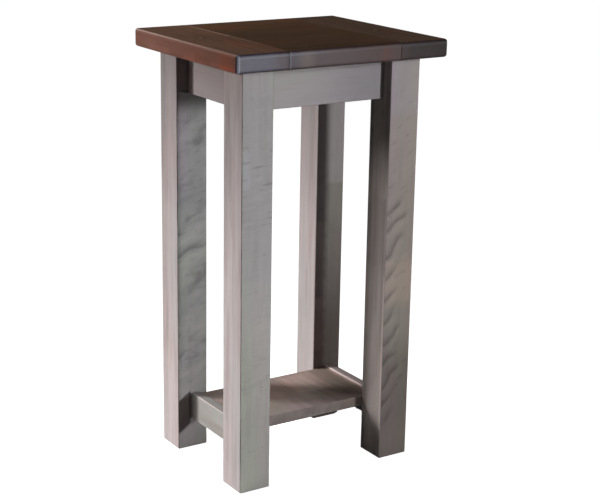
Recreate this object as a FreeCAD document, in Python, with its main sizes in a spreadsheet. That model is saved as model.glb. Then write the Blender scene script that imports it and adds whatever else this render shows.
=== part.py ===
import FreeCAD, Part
import math
import os
import Sketcher

# Small square table with a breadboard top, four sawn legs, four aprons and a low shelf.
# Millimetres. +Z is up, the floor is Z = 0 and the middle of the table is X = Y = 0.
# The front is the -Y side and the left is the -X side.

doc = FreeCAD.newDocument("table")
sheet = doc.addObject("Spreadsheet::Sheet", "sizes")

SIZES = {
    # legs
    "leg_section": 63.5,
    "leg_height": 785.5,
    "leg_arris": 1.8,
    "foot_chamfer": 1.5,
    "frame_width": 378,
    "frame_depth": 301,
    # aprons
    "apron_height": 78.5,
    "apron_thickness": 19,
    "apron_setback": 25.5,
    "rail_arris": 1.5,
    # mortises and tenons of the aprons
    "tenon_thickness": 9.5,
    "tenon_clearance": 0.1,
    "tenon_foot": 8,
    "mitre_gap": 0.5,
    "haunch_length": 8,
    "haunch_height": 18,
    "mortise_relief": 1,
    # low side rails
    "stretcher_bottom": 58.5,
    "stretcher_height": 54,
    "stretcher_thickness": 19,
    "stretcher_setback": 23.75,
    "stretcher_shift": 7.75,
    "stretcher_tenon": 25,
    "stretcher_shoulder": 7,
    # shelf and its cleats
    "shelf_thickness": 20.5,
    "shelf_recess": 3,
    "shelf_gap": 0.25,
    "cleat_section": 19,
    "cleat_inset": 12,
    "cleat_chamfer": 2,
    "batten_width": 57,
    "batten_thickness": 13,
    "batten_inset": 19,
    "batten_offset": 42.5,
    "batten_chamfer": 3,
    # top
    "overhang_side": 34,
    "overhang_front": 38,
    "top_thickness": 33.5,
    "breadboard_width": 105,
    "top_edge_radius": 5.5,
    "top_corner_radius": 6,
    "seam_bevel": 1,
    # tongue, tenons and pegs between planks and breadboards
    "tongue_thickness": 10,
    "tongue_length": 12,
    "tongue_setback": 16,
    "tongue_clearance": 0.15,
    "through_tenon_length": 52,
    "through_tenon_width": 62,
    "peg_diameter": 8,
    "peg_inset": 30,
    "peg_cover": 6,
    "peg_travel": 3,
    "peg_clearance": 0.05,
    # buttons that hold the top
    "groove_drop": 10,
    "groove_width": 6.5,
    "groove_depth": 9,
    "groove_clearance": 0.3,
    "button_length": 32,
    "button_width": 28,
    "button_thickness": 18,
    "button_tongue": 7,
    "button_gap": 2,
    "button_chamfer": 2,
    "button_place_share": 0.26,
    # screws
    "screw_head": 8,
    "screw_head_height": 2.6,
    "screw_shank": 4,
    "screw_clearance": 0.1,
    "button_screw_length": 30,
    "shelf_screw_length": 30,
    "shelf_screw_share": 0.6,
    # what a cut runs past the face that it starts from
    "overrun": 2,
}

for row, (alias, value) in enumerate(SIZES.items(), 1):
    sheet.set(f"A{row}", alias)
    sheet.set(f"B{row}", str(value))
    sheet.setAlias(f"B{row}", alias)
doc.recompute()

PLANKS = ("front", "middle", "back")
TOLERANCE_SHARE = 1e-5


def size(text):
    """The value of an expression in the named sizes."""
    return float(sheet.evalExpression(text))


TINY = size("leg_section") * TOLERANCE_SHARE


def named(text):
    """The same expression with each size read from the sheet by the other objects."""
    words = sorted(SIZES, key=len, reverse=True)
    for number, word in enumerate(words):
        text = text.replace(word, f"<{number}>")
    for number, word in enumerate(words):
        text = text.replace(f"<{number}>", f"sizes.{word}")
    return text


# Places that several pieces share, as expressions in the named sizes
APRON_BOTTOM = "(leg_height - apron_height)"
APRON_CHEEK = "((apron_thickness - tenon_thickness) / 2)"
TENON_PLACE = f"(apron_setback + {APRON_CHEEK})"
TENON_LONG = f"(leg_section - {TENON_PLACE} - mitre_gap)"
TENON_SHORT = f"({TENON_LONG} - tenon_thickness)"
STRETCHER_TOP = "(stretcher_bottom + stretcher_height)"
STRETCHER_CHEEK = "((stretcher_thickness - tenon_thickness) / 2)"
LEFT_SETBACK = "(stretcher_setback + stretcher_shift)"
RIGHT_SETBACK = "(stretcher_setback - stretcher_shift)"
HALF_WIDTH = "(frame_width / 2)"
HALF_DEPTH = "(frame_depth / 2)"
SPAN_WIDTH = "(frame_width - 2 * leg_section)"
SPAN_DEPTH = "(frame_depth - 2 * leg_section)"
SHELF_BOTTOM = f"({STRETCHER_TOP} - shelf_recess - shelf_thickness)"
CLEAT_LENGTH = f"({SPAN_DEPTH} - 2 * cleat_inset)"
CLEAT_LEFT = f"(-{HALF_WIDTH} + {LEFT_SETBACK} + stretcher_thickness)"
CLEAT_RIGHT = f"({HALF_WIDTH} - {RIGHT_SETBACK} - stretcher_thickness)"
TOP_WIDTH = "(frame_width + 2 * overhang_side)"
TOP_DEPTH = "(frame_depth + 2 * overhang_front)"
FIELD_LENGTH = f"({TOP_WIDTH} - 2 * breadboard_width)"
PLANK_WIDTH = f"({TOP_DEPTH} / {len(PLANKS)})"
TONGUE_BOTTOM = "((top_thickness - tongue_thickness) / 2)"
TONGUE_TOP = f"({TONGUE_BOTTOM} + tongue_thickness)"
PEG_HEIGHT = "(top_thickness - peg_cover)"
PEG_HOLE = "(peg_diameter + 2 * peg_clearance)"
GROOVE_TOP = "(apron_height - groove_drop)"
BUTTON_FACE = f"({HALF_DEPTH} - apron_setback - apron_thickness)"
BUTTON_END = f"({BUTTON_FACE} - button_gap)"
BUTTON_SCREW_ROW = f"({BUTTON_END} - button_length / 2)"
BUTTON_PLACE = f"({SPAN_WIDTH} * button_place_share)"
BUTTON_BOTTOM = "(leg_height - button_thickness)"
SHELF_SCREW_PITCH = f"({CLEAT_LENGTH} * shelf_screw_share)"
SCREW_HOLE = "(screw_shank + 2 * screw_clearance)"


def bind(item, prop, text):
    item.setExpression(prop, named(text))


def new_body(label, corner, turn=0):
    """A body whose own origin stands at corner, turned about Z by some degrees."""
    body = doc.addObject("PartDesign::Body", label)
    body.Label = label
    upright = FreeCAD.Rotation(FreeCAD.Vector(0, 0, 1), turn)
    body.Placement = FreeCAD.Placement(FreeCAD.Vector(0, 0, 0), upright)
    for axis, place in zip("xyz", corner):
        bind(body, f"Placement.Base.{axis}", place)
    return body


def new_sketch(body, plane, offset, name):
    """An empty sketch parallel to one of the body's own planes."""
    sketch = body.newObject("Sketcher::SketchObject", name)
    origin_plane = next(item for item in body.Origin.OriginFeatures if item.Role == plane)
    sketch.AttachmentSupport = [(origin_plane, "")]
    sketch.MapMode = "FlatFace"
    bind(sketch, "AttachmentOffset.Base.z", offset)
    return sketch


def pin(sketch, kind, element, point, text):
    """Holds a point of the sketch at a named distance from the sketch's origin."""
    limit = sketch.addConstraint(Sketcher.Constraint(kind, -1, 1, element, point, size(text)))
    bind(sketch, f"Constraints[{limit}]", text)


def add_outline(sketch, corners):
    """A closed outline of straight lines through corners, each an (across, up) pair."""
    points = [FreeCAD.Vector(size(across), size(up), 0) for across, up in corners]
    first = sketch.GeometryCount
    for number, point in enumerate(points):
        following = points[(number + 1) % len(points)]
        sketch.addGeometry(Part.LineSegment(point, following), False)
    for number, (across, up) in enumerate(corners):
        line = first + number
        following = first + (number + 1) % len(corners)
        sketch.addConstraint(Sketcher.Constraint("Coincident", line, 2, following, 1))
        pin(sketch, "DistanceX", line, 1, across)
        pin(sketch, "DistanceY", line, 1, up)


def add_rectangle(sketch, left, right, low, high):
    add_outline(sketch, [(left, low), (right, low), (right, high), (left, high)])


def add_circle(sketch, across, up, diameter):
    centre = FreeCAD.Vector(size(across), size(up), 0)
    upward = FreeCAD.Vector(0, 0, 1)
    circle = sketch.addGeometry(Part.Circle(centre, upward, size(diameter) / 2), False)
    pin(sketch, "DistanceX", circle, 3, across)
    pin(sketch, "DistanceY", circle, 3, up)
    width = sketch.addConstraint(Sketcher.Constraint("Diameter", circle, size(diameter)))
    bind(sketch, f"Constraints[{width}]", diameter)


def rectangle(body, plane, offset, sides, name):
    """A sketch with one rectangle; sides are left, right, low and high."""
    sketch = new_sketch(body, plane, offset, name)
    add_rectangle(sketch, *sides)
    return sketch


def pad(body, sketch, length, name):
    """Adds the sketch's profile, thickened along the sketch's normal."""
    feature = body.newObject("PartDesign::Pad", name)
    feature.Profile = sketch
    bind(feature, "Length", length)
    body.Tip = feature
    doc.recompute()
    return feature


def cut(body, sketch, length, name):
    """Takes the sketch's profile away along the sketch's normal, and proves that it did."""
    volume = body.Shape.Volume
    feature = body.newObject("PartDesign::Pocket", name)
    feature.Profile = sketch
    feature.Reversed = True
    bind(feature, "Length", length)
    body.Tip = feature
    doc.recompute()
    if not body.Shape.Volume < volume:
        raise ValueError(f"{body.Label}: {name} cuts nothing")
    return feature


def cut_box(body, sides, low, high, name):
    """Takes away a rectangle in plan, from one height up to another."""
    sketch = rectangle(body, "XY_Plane", low, sides, f"{name}_sketch")
    return cut(body, sketch, f"{high} - {low}", name)


def lies_at(edge, **planes):
    """True when the whole edge lies in each plane given, such as x=0."""
    box = edge.BoundBox
    spans = {"x": (box.XMin, box.XMax), "y": (box.YMin, box.YMax), "z": (box.ZMin, box.ZMax)}
    return all(abs(end - place) < TINY for axis, place in planes.items() for end in spans[axis])


def find_edges(feature, *wanted):
    """Names of the edges that lie in every plane of one of the wanted sets."""
    numbered = enumerate(feature.Shape.Edges, 1)
    return [f"Edge{number}" for number, edge in numbered
            if any(lies_at(edge, **planes) for planes in wanted)]


def ease(body, kind, width, edges, name):
    """A fillet or a chamfer on edges of the body's last feature."""
    last = body.Tip
    if not edges:
        raise ValueError(f"{body.Label}: {name} finds no edge")
    feature = body.newObject(f"PartDesign::{kind}", name)
    feature.Base = (last, edges)
    bind(feature, "Radius" if kind == "Fillet" else "Size", width)
    body.Tip = feature
    doc.recompute()
    return feature


def cut_channel(body, along, place, thickness, depth_end, low, high, name):
    """A mortise in a leg, open at the inner face, for a rail that runs along x or along y."""
    inward = (depth_end, "leg_section + overrun")
    across = (f"{place} - tenon_clearance", f"{place} + {thickness} + tenon_clearance")
    sides = inward + across if along == "x" else across + inward
    cut_box(body, sides, low, high, name)


def make_leg(label, corner, turn, stretcher_along, setback):
    """A leg seen from its own outer corner, with its two inner faces at leg_section."""
    body = new_body(label, corner, turn)
    section = rectangle(body, "XY_Plane", "0", ("0", "leg_section", "0", "leg_section"), "section")
    post = pad(body, section, "leg_height", "post")
    foot = ease(body, "Chamfer", "foot_chamfer", find_edges(post, dict(z=0)), "foot")
    side = size("leg_section")
    corners = [dict(x=across, y=back) for across in (0, side) for back in (0, side)]
    ease(body, "Fillet", "leg_arris", find_edges(foot, *corners), "eased_corners")
    for along in "xy":
        cut_channel(body, along, TENON_PLACE, "tenon_thickness", f"{TENON_PLACE} - tenon_clearance",
                    f"({APRON_BOTTOM} + tenon_foot - tenon_clearance)",
                    "(leg_height - haunch_height + tenon_clearance)", f"mortise_{along}")
        cut_channel(body, along, TENON_PLACE, "tenon_thickness",
                    "leg_section - haunch_length - mortise_relief",
                    "(leg_height - haunch_height)", "(leg_height + overrun)", f"haunch_{along}")
    cut_channel(body, stretcher_along, f"{setback} + {STRETCHER_CHEEK}", "tenon_thickness",
                "leg_section - stretcher_tenon - mortise_relief",
                "(stretcher_bottom + stretcher_shoulder - tenon_clearance)",
                f"({STRETCHER_TOP} - stretcher_shoulder + tenon_clearance)", "stretcher_mortise")


def pad_rail(label, corner, turn, length, thickness, height):
    """The straight part of a rail: x runs along it, y = 0 is its outer face."""
    body = new_body(label, corner, turn)
    section = rectangle(body, "YZ_Plane", "0", ("0", thickness, "0", height), "section")
    pad(body, section, length, "board")
    return body


def make_apron(label, corner, turn, length, grooved):
    """An apron with haunched tenons whose ends are mitred to meet inside the leg."""
    body = pad_rail(label, corner, turn, length, "apron_thickness", "apron_height")
    thick = size("apron_thickness")
    lower = find_edges(body.Tip, dict(y=0, z=0), dict(y=thick, z=0))
    ease(body, "Fillet", "rail_arris", lower, "eased_foot")
    if grooved:
        sides = ("apron_thickness - groove_depth", "apron_thickness + overrun",
                 f"{GROOVE_TOP} - groove_width", GROOVE_TOP)
        cut(body, rectangle(body, "YZ_Plane", "0", sides, "groove_sketch"), length, "groove")
    outer = APRON_CHEEK
    inner = f"({APRON_CHEEK} + tenon_thickness)"
    tenons = new_sketch(body, "XY_Plane", "tenon_foot", "tenon_sketch")
    add_outline(tenons, [("0", outer), ("0", inner), (f"-{TENON_SHORT}", inner),
                         (f"-{TENON_LONG}", outer)])
    add_outline(tenons, [(length, outer), (f"{length} + {TENON_LONG}", outer),
                         (f"{length} + {TENON_SHORT}", inner), (length, inner)])
    pad(body, tenons, "apron_height - haunch_height - tenon_foot", "tenons")
    haunches = new_sketch(body, "XY_Plane", "apron_height - haunch_height", "haunch_sketch")
    add_rectangle(haunches, "-haunch_length", "0", outer, inner)
    add_rectangle(haunches, length, f"{length} + haunch_length", outer, inner)
    pad(body, haunches, "haunch_height", "haunches")


def drill(body, plane, offset, places, diameter, depth, name):
    """Round holes along a plane's normal, starting at offset."""
    sketch = new_sketch(body, plane, offset, f"{name}_sketch")
    for across, up in places:
        add_circle(sketch, across, up, diameter)
    return cut(body, sketch, depth, name)


def screw_grip(length, wood):
    """The depth of a pilot hole, past the piece that the screw's head bears on."""
    return f"({length} - {wood} + screw_clearance)"


def make_stretcher(label, corner, turn):
    """A low side rail with shouldered tenons."""
    body = pad_rail(label, corner, turn, SPAN_DEPTH, "stretcher_thickness", "stretcher_height")
    thick, tall = size("stretcher_thickness"), size("stretcher_height")
    edges = [dict(y=across, z=up) for across in (0, thick) for up in (0, tall)]
    ease(body, "Fillet", "rail_arris", find_edges(body.Tip, *edges), "eased_edges")
    inner = f"({STRETCHER_CHEEK} + tenon_thickness)"
    tenons = new_sketch(body, "XY_Plane", "stretcher_shoulder", "tenon_sketch")
    add_rectangle(tenons, "-stretcher_tenon", "0", STRETCHER_CHEEK, inner)
    add_rectangle(tenons, SPAN_DEPTH, f"{SPAN_DEPTH} + stretcher_tenon", STRETCHER_CHEEK, inner)
    pad(body, tenons, "stretcher_height - 2 * stretcher_shoulder", "tenons")


def make_cleat(label, corner, turn):
    """A square strip under the shelf: y = 0 lies on the side rail, z = cleat_section on the shelf."""
    body = pad_rail(label, corner, turn, CLEAT_LENGTH, "cleat_section", "cleat_section")
    inner = find_edges(body.Tip, dict(y=size("cleat_section"), z=0))
    ease(body, "Chamfer", "cleat_chamfer", inner, "eased_edge")
    places = [(f"{CLEAT_LENGTH} / 2 + {side} * {SHELF_SCREW_PITCH} / 2", "cleat_section / 2")
              for side in (-1, 1)]
    drill(body, "XY_Plane", "0", places, SCREW_HOLE, "cleat_section", "screw_holes")


def make_shelf():
    """The shelf lies on the cleats, between the two side rails."""
    corner = (f"{CLEAT_LEFT} + shelf_gap", f"-{SPAN_DEPTH} / 2 + shelf_gap", SHELF_BOTTOM)
    body = new_body("shelf_board", corner)
    length = f"({CLEAT_RIGHT} - {CLEAT_LEFT} - 2 * shelf_gap)"
    depth = f"({SPAN_DEPTH} - 2 * shelf_gap)"
    board = pad(body, rectangle(body, "XY_Plane", "0", ("0", length, "0", depth), "outline"),
                "shelf_thickness", "board")
    deep, thick = size(depth), size("shelf_thickness")
    edges = [dict(y=back, z=up) for back in (0, deep) for up in (0, thick)]
    ease(body, "Fillet", "rail_arris", find_edges(board, *edges), "eased_edges")
    rows = ("cleat_section / 2 - shelf_gap", f"{length} + shelf_gap - cleat_section / 2")
    places = [(row, f"{depth} / 2 + {side} * {SHELF_SCREW_PITCH} / 2")
              for row in rows for side in (-1, 1)]
    drill(body, "XY_Plane", "0", places, SCREW_HOLE,
          screw_grip("shelf_screw_length", "cleat_section"), "pilot_holes")


def make_batten():
    """A flat batten that keeps the shelf from cupping, glued under it to the right of its middle."""
    middle = f"({CLEAT_LEFT} + {CLEAT_RIGHT}) / 2 + batten_offset"
    half = f"({SPAN_DEPTH} / 2 - batten_inset)"
    body = new_body("shelf_batten", (middle, "0", f"{SHELF_BOTTOM} - batten_thickness"))
    outline = rectangle(body, "XY_Plane", "0", ("-batten_width / 2", "batten_width / 2",
                                                f"-{half}", half), "outline")
    pad(body, outline, "batten_thickness", "board")
    side = size("batten_width / 2")
    lower = find_edges(body.Tip, dict(x=-side, z=0), dict(x=side, z=0))
    ease(body, "Chamfer", "batten_chamfer", lower, "bevelled_sides")


def plank_tenon(number):
    """The low and high sides of the deep tenon in the middle of a plank, from the top's front."""
    middle = f"({PLANK_WIDTH} * ({number} + 0.5))"
    return f"({middle} - through_tenon_width / 2)", f"({middle} + through_tenon_width / 2)"


def slot_outline(sketch, across, up, diameter, travel):
    """A round-ended slot along the sketch's up direction, travel longer than the hole."""
    radius = size(diameter) / 2
    centres = [FreeCAD.Vector(size(across), size(f"{up} + {side} * {travel} / 2"), 0)
               for side in (-1, 1)]
    upward = FreeCAD.Vector(0, 0, 1)
    first = sketch.GeometryCount
    lower = Part.ArcOfCircle(Part.Circle(centres[0], upward, radius), math.pi, 2 * math.pi)
    upper = Part.ArcOfCircle(Part.Circle(centres[1], upward, radius), 0, math.pi)
    right = FreeCAD.Vector(radius, 0, 0)
    sketch.addGeometry(lower, False)
    sketch.addGeometry(Part.LineSegment(centres[0] + right, centres[1] + right), False)
    sketch.addGeometry(upper, False)
    sketch.addGeometry(Part.LineSegment(centres[1] - right, centres[0] - right), False)
    for number in range(4):
        here, following = first + number, first + (number + 1) % 4
        sketch.addConstraint(Sketcher.Constraint("Tangent", here, 2, following, 1))
    for arc, side in ((first, -1), (first + 2, 1)):
        pin(sketch, "DistanceX", arc, 3, across)
        pin(sketch, "DistanceY", arc, 3, f"{up} + {side} * {travel} / 2")
        wide = sketch.addConstraint(Sketcher.Constraint("Radius", arc, radius))
        bind(sketch, f"Constraints[{wide}]", f"{diameter} / 2")


def make_plank(number):
    """One board of the field, with a short tongue and a deep tenon at each end."""
    corner = (f"-{FIELD_LENGTH} / 2", f"-{TOP_DEPTH} / 2 + {PLANK_WIDTH} * {number}", "leg_height")
    body = new_body(f"plank_{PLANKS[number]}", corner)
    outline = rectangle(body, "XY_Plane", "0", ("0", FIELD_LENGTH, "0", PLANK_WIDTH), "outline")
    pad(body, outline, "top_thickness", "board")
    wide, thick, long = size(PLANK_WIDTH), size("top_thickness"), size(FIELD_LENGTH)
    rims = [back for back, last in ((0, 0), (wide, len(PLANKS) - 1)) if number == last]
    for rim in rims:
        edges = find_edges(body.Tip, dict(y=rim, z=0), dict(y=rim, z=thick))
        ease(body, "Fillet", "top_edge_radius", edges, "eased_rim")
    glued = [back for back in (0, wide) if back not in rims]
    for end in (0, long):
        numbered = enumerate(body.Tip.Shape.Edges, 1)
        edges = [f"Edge{index}" for index, edge in numbered if lies_at(edge, x=end)
                 and not any(lies_at(edge, y=joint) for joint in glued)]
        ease(body, "Chamfer", "seam_bevel", edges, "bevelled_seam")
    low = "tongue_setback" if number == 0 else "0"
    high = f"{PLANK_WIDTH} - tongue_setback" if number == len(PLANKS) - 1 else PLANK_WIDTH
    tongues = new_sketch(body, "XY_Plane", TONGUE_BOTTOM, "tongue_sketch")
    add_rectangle(tongues, "-tongue_length", "0", low, high)
    add_rectangle(tongues, FIELD_LENGTH, f"{FIELD_LENGTH} + tongue_length", low, high)
    pad(body, tongues, "tongue_thickness", "tongues")
    tenon_low, tenon_high = (f"({side} - {PLANK_WIDTH} * {number})" for side in plank_tenon(number))
    tenons = new_sketch(body, "XY_Plane", TONGUE_BOTTOM, "tenon_sketch")
    add_rectangle(tenons, "-through_tenon_length", "-tongue_length", tenon_low, tenon_high)
    add_rectangle(tenons, f"{FIELD_LENGTH} + tongue_length",
                  f"{FIELD_LENGTH} + through_tenon_length", tenon_low, tenon_high)
    pad(body, tenons, "tongue_thickness", "tenons")
    holes = new_sketch(body, "XY_Plane", TONGUE_BOTTOM, "peg_sketch")
    for across in ("-peg_inset", f"{FIELD_LENGTH} + peg_inset"):
        if number == 1:
            add_circle(holes, across, f"{PLANK_WIDTH} / 2", PEG_HOLE)
        else:
            slot_outline(holes, across, f"{PLANK_WIDTH} / 2", PEG_HOLE, "peg_travel")
    cut(body, holes, "tongue_thickness", "peg_holes")
    row = (f"{TOP_DEPTH} / 2 - {BUTTON_SCREW_ROW}", f"{TOP_DEPTH} / 2 + {BUTTON_SCREW_ROW}")
    for screw_row in row:
        place = size(f"{screw_row} - {PLANK_WIDTH} * {number}")
        if 0 < place < wide:
            places = [(f"{FIELD_LENGTH} / 2 + {side} * {BUTTON_PLACE}",
                       f"{screw_row} - {PLANK_WIDTH} * {number}") for side in (-1, 1)]
            drill(body, "XY_Plane", "0", places, SCREW_HOLE,
                  screw_grip("button_screw_length", "button_thickness"), "pilot_holes")


def make_breadboard(label, corner, turn):
    """A cross board: x = 0 is the seam, x = breadboard_width the outer edge, y runs along it."""
    body = new_body(label, corner, turn)
    outline = rectangle(body, "XY_Plane", "0", ("0", "breadboard_width", "0", TOP_DEPTH), "outline")
    pad(body, outline, "top_thickness", "board")
    wide, long, thick = size("breadboard_width"), size(TOP_DEPTH), size("top_thickness")
    corners = find_edges(body.Tip, dict(x=wide, y=0), dict(x=wide, y=long))
    ease(body, "Fillet", "top_corner_radius", corners, "rounded_corners")
    seam = {"x": 0}
    numbered = enumerate(body.Tip.Shape.Edges, 1)
    rim = [f"Edge{index}" for index, edge in numbered if not lies_at(edge, **seam)
           and (lies_at(edge, z=0) or lies_at(edge, z=thick))]
    ease(body, "Fillet", "top_edge_radius", rim, "eased_rim")
    ease(body, "Chamfer", "seam_bevel", find_edges(body.Tip, seam), "bevelled_seam")
    groove = ("-overrun", "tongue_length + mortise_relief", "tongue_setback - mortise_relief",
              f"{TOP_DEPTH} - tongue_setback + mortise_relief")
    cut_box(body, groove, f"({TONGUE_BOTTOM} - tongue_clearance)",
            f"({TONGUE_TOP} + tongue_clearance)", "groove")
    for number in range(len(PLANKS)):
        low, high = plank_tenon(number)
        room = "0" if number == 1 else "peg_travel / 2"
        mortise = ("0", "through_tenon_length + mortise_relief",
                   f"{low} - {room} - tongue_clearance", f"{high} + {room} + tongue_clearance")
        cut_box(body, mortise, f"({TONGUE_BOTTOM} - tongue_clearance)",
                f"({TONGUE_TOP} + tongue_clearance)", "mortise")
    places = [("peg_inset", f"{PLANK_WIDTH} * ({number} + 0.5)") for number in range(len(PLANKS))]
    drill(body, "XY_Plane", "0", places, PEG_HOLE, f"{PEG_HEIGHT} + peg_clearance", "peg_holes")


def repeat(body, feature, directions):
    """Copies a feature over a grid; each direction is an axis, the whole length and a count."""
    pattern = body.newObject("PartDesign::LinearPattern", "grid")
    pattern.Originals = [feature]
    for ending, (axis, length, count) in zip(("", "2"), directions):
        line = next(item for item in body.Origin.OriginFeatures if item.Role == f"{axis}_Axis")
        setattr(pattern, f"Direction{ending}", (line, [""]))
        setattr(pattern, f"Occurrences{ending}", count)
        bind(pattern, f"Length{ending}", length)
    body.Tip = pattern
    doc.recompute()


def make_pegs():
    """Six blind pegs that lock the plank tenons, driven from under the breadboards."""
    corner = (f"-{FIELD_LENGTH} / 2 - peg_inset", f"-{TOP_DEPTH} / 2 + {PLANK_WIDTH} / 2",
              "leg_height")
    body = new_body("breadboard_pegs", corner)
    sketch = new_sketch(body, "XY_Plane", "0", "peg_sketch")
    add_circle(sketch, "0", "0", "peg_diameter")
    peg = pad(body, sketch, PEG_HEIGHT, "peg")
    repeat(body, peg, (("X", f"{FIELD_LENGTH} + 2 * peg_inset", 2),
                       ("Y", f"{PLANK_WIDTH} * {len(PLANKS) - 1}", len(PLANKS))))


def make_button(label, corner, turn):
    """A wooden button: x runs across the apron, and the tongue at x < 0 hooks in its groove."""
    body = new_body(label, corner, turn)
    half = "button_width / 2"
    block = rectangle(body, "XY_Plane", "0", ("0", "button_length", f"-{half}", half), "outline")
    pad(body, block, "button_thickness", "block")
    long = size("button_length")
    lower = find_edges(body.Tip, dict(x=long, z=0))
    ease(body, "Chamfer", "button_chamfer", lower, "eased_end")
    tongue = rectangle(body, "XY_Plane", "button_thickness - groove_drop - groove_width"
                       " + groove_clearance", ("-button_tongue", "0", f"-{half}", half),
                       "tongue_sketch")
    pad(body, tongue, "groove_width - groove_clearance", "tongue")
    drill(body, "XY_Plane", "0", [("button_length / 2", "0")], SCREW_HOLE, "button_thickness",
          "screw_hole")


def make_screws(label, corner, length, spread):
    """Round-headed screws in a grid, each with its head under z = 0 and its shank along +Z."""
    body = new_body(label, corner)
    sketch = new_sketch(body, "XZ_Plane", "0", "screw_sketch")
    head, shank = "screw_head / 2", "screw_shank / 2"
    add_outline(sketch, [("0", "-screw_head_height"), (head, "-screw_head_height"), (head, "0"),
                         (shank, "0"), (shank, length), ("0", length)])
    screw = body.newObject("PartDesign::Revolution", "screw")
    screw.Profile = sketch
    screw.ReferenceAxis = (sketch, ["V_Axis"])
    screw.Angle = 360
    repeat(body, screw, (("X", spread[0], 2), ("Y", spread[1], 2)))


def write_parts():
    """Checks every object of the document and writes each body's solids to its own file."""
    doc.recompute()
    for item in doc.Objects:
        if "Invalid" in item.State or "Error" in item.State:
            raise ValueError(f"{item.Label} failed: {item.State}")
    os.makedirs("parts", exist_ok=True)
    for body in doc.findObjects("PartDesign::Body"):
        if body.Shape.isNull() or not body.Shape.isValid():
            raise ValueError(f"{body.Label} has no valid shape")
        body.Shape.exportStep(f"parts/{body.Label}.step")
        print(body.Label, len(body.Shape.Solids), round(body.Shape.Volume, 1))


def make_legs():
    left, right = f"-{HALF_WIDTH}", HALF_WIDTH
    front, back = f"-{HALF_DEPTH}", HALF_DEPTH
    make_leg("leg_front_left", (left, front, "0"), 0, "y", LEFT_SETBACK)
    make_leg("leg_front_right", (right, front, "0"), 90, "x", RIGHT_SETBACK)
    make_leg("leg_back_right", (right, back, "0"), 180, "y", RIGHT_SETBACK)
    make_leg("leg_back_left", (left, back, "0"), 270, "x", LEFT_SETBACK)


def make_aprons():
    half_x, half_y = f"{SPAN_WIDTH} / 2", f"{SPAN_DEPTH} / 2"
    face_x, face_y = f"({HALF_WIDTH} - apron_setback)", f"({HALF_DEPTH} - apron_setback)"
    make_apron("apron_front", (f"-{half_x}", f"-{face_y}", APRON_BOTTOM), 0, SPAN_WIDTH, True)
    make_apron("apron_right", (face_x, f"-{half_y}", APRON_BOTTOM), 90, SPAN_DEPTH, False)
    make_apron("apron_back", (half_x, face_y, APRON_BOTTOM), 180, SPAN_WIDTH, True)
    make_apron("apron_left", (f"-{face_x}", half_y, APRON_BOTTOM), 270, SPAN_DEPTH, False)


def make_lower_frame():
    half = f"{SPAN_DEPTH} / 2"
    make_stretcher("stretcher_left", (f"-{HALF_WIDTH} + {LEFT_SETBACK}", half,
                                      "stretcher_bottom"), 270)
    make_stretcher("stretcher_right", (f"{HALF_WIDTH} - {RIGHT_SETBACK}", f"-{half}",
                                       "stretcher_bottom"), 90)
    low = f"{SHELF_BOTTOM} - cleat_section"
    make_cleat("cleat_left", (CLEAT_LEFT, f"{half} - cleat_inset", low), 270)
    make_cleat("cleat_right", (CLEAT_RIGHT, f"-{half} + cleat_inset", low), 90)
    make_shelf()
    make_batten()
    corner = (f"{CLEAT_LEFT} + cleat_section / 2", f"-{SHELF_SCREW_PITCH} / 2", low)
    spread = (f"{CLEAT_RIGHT} - {CLEAT_LEFT} - cleat_section", SHELF_SCREW_PITCH)
    make_screws("shelf_screws", corner, "shelf_screw_length", spread)


def make_top():
    for number in range(len(PLANKS)):
        make_plank(number)
    seam, end = f"{FIELD_LENGTH} / 2", f"{TOP_DEPTH} / 2"
    make_breadboard("breadboard_right", (seam, f"-{end}", "leg_height"), 0)
    make_breadboard("breadboard_left", (f"-{seam}", end, "leg_height"), 180)
    make_pegs()


def make_buttons():
    """The buttons hook in the front and back aprons, each with a screw up into the top."""
    for name, side in (("left", "-"), ("right", "")):
        across = f"{side}{BUTTON_PLACE}"
        make_button(f"button_front_{name}", (across, f"-{BUTTON_END}", BUTTON_BOTTOM), 90)
        make_button(f"button_back_{name}", (across, BUTTON_END, BUTTON_BOTTOM), 270)
    corner = (f"-{BUTTON_PLACE}", f"-{BUTTON_SCREW_ROW}", BUTTON_BOTTOM)
    spread = (f"2 * {BUTTON_PLACE}", f"2 * {BUTTON_SCREW_ROW}")
    make_screws("button_screws", corner, "button_screw_length", spread)


make_legs()
make_aprons()
make_lower_frame()
make_top()
make_buttons()
write_parts()
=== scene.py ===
import math
import random

import bmesh
import bpy
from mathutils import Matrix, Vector


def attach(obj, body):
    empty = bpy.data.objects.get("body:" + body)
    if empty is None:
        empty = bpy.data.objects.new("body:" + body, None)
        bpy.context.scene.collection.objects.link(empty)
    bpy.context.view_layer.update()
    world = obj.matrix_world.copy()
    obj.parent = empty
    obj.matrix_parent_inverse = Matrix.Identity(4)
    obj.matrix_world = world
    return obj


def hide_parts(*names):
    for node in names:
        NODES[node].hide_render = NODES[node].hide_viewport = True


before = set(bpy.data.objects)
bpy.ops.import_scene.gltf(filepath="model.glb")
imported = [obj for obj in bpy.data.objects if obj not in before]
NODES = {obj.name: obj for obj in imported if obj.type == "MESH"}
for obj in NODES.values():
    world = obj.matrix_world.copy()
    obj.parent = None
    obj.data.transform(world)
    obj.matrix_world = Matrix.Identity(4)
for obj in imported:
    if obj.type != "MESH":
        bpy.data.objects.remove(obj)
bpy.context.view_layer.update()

# The camera stands in front and to the left of the table. Lengths are in metres, turns in degrees.
CAMERA_PLACE = (-1.47202, -2.31816, 1.1928)
CAMERA_TURN = (73.9791, -0.9535, -32.6923)
CAMERA_LENS = 89.457
CAMERA_SENSOR = 36
CAMERA_REACH = 60
LAMP_BASE = 0.3
FLOOR_SIDES = 96

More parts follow.
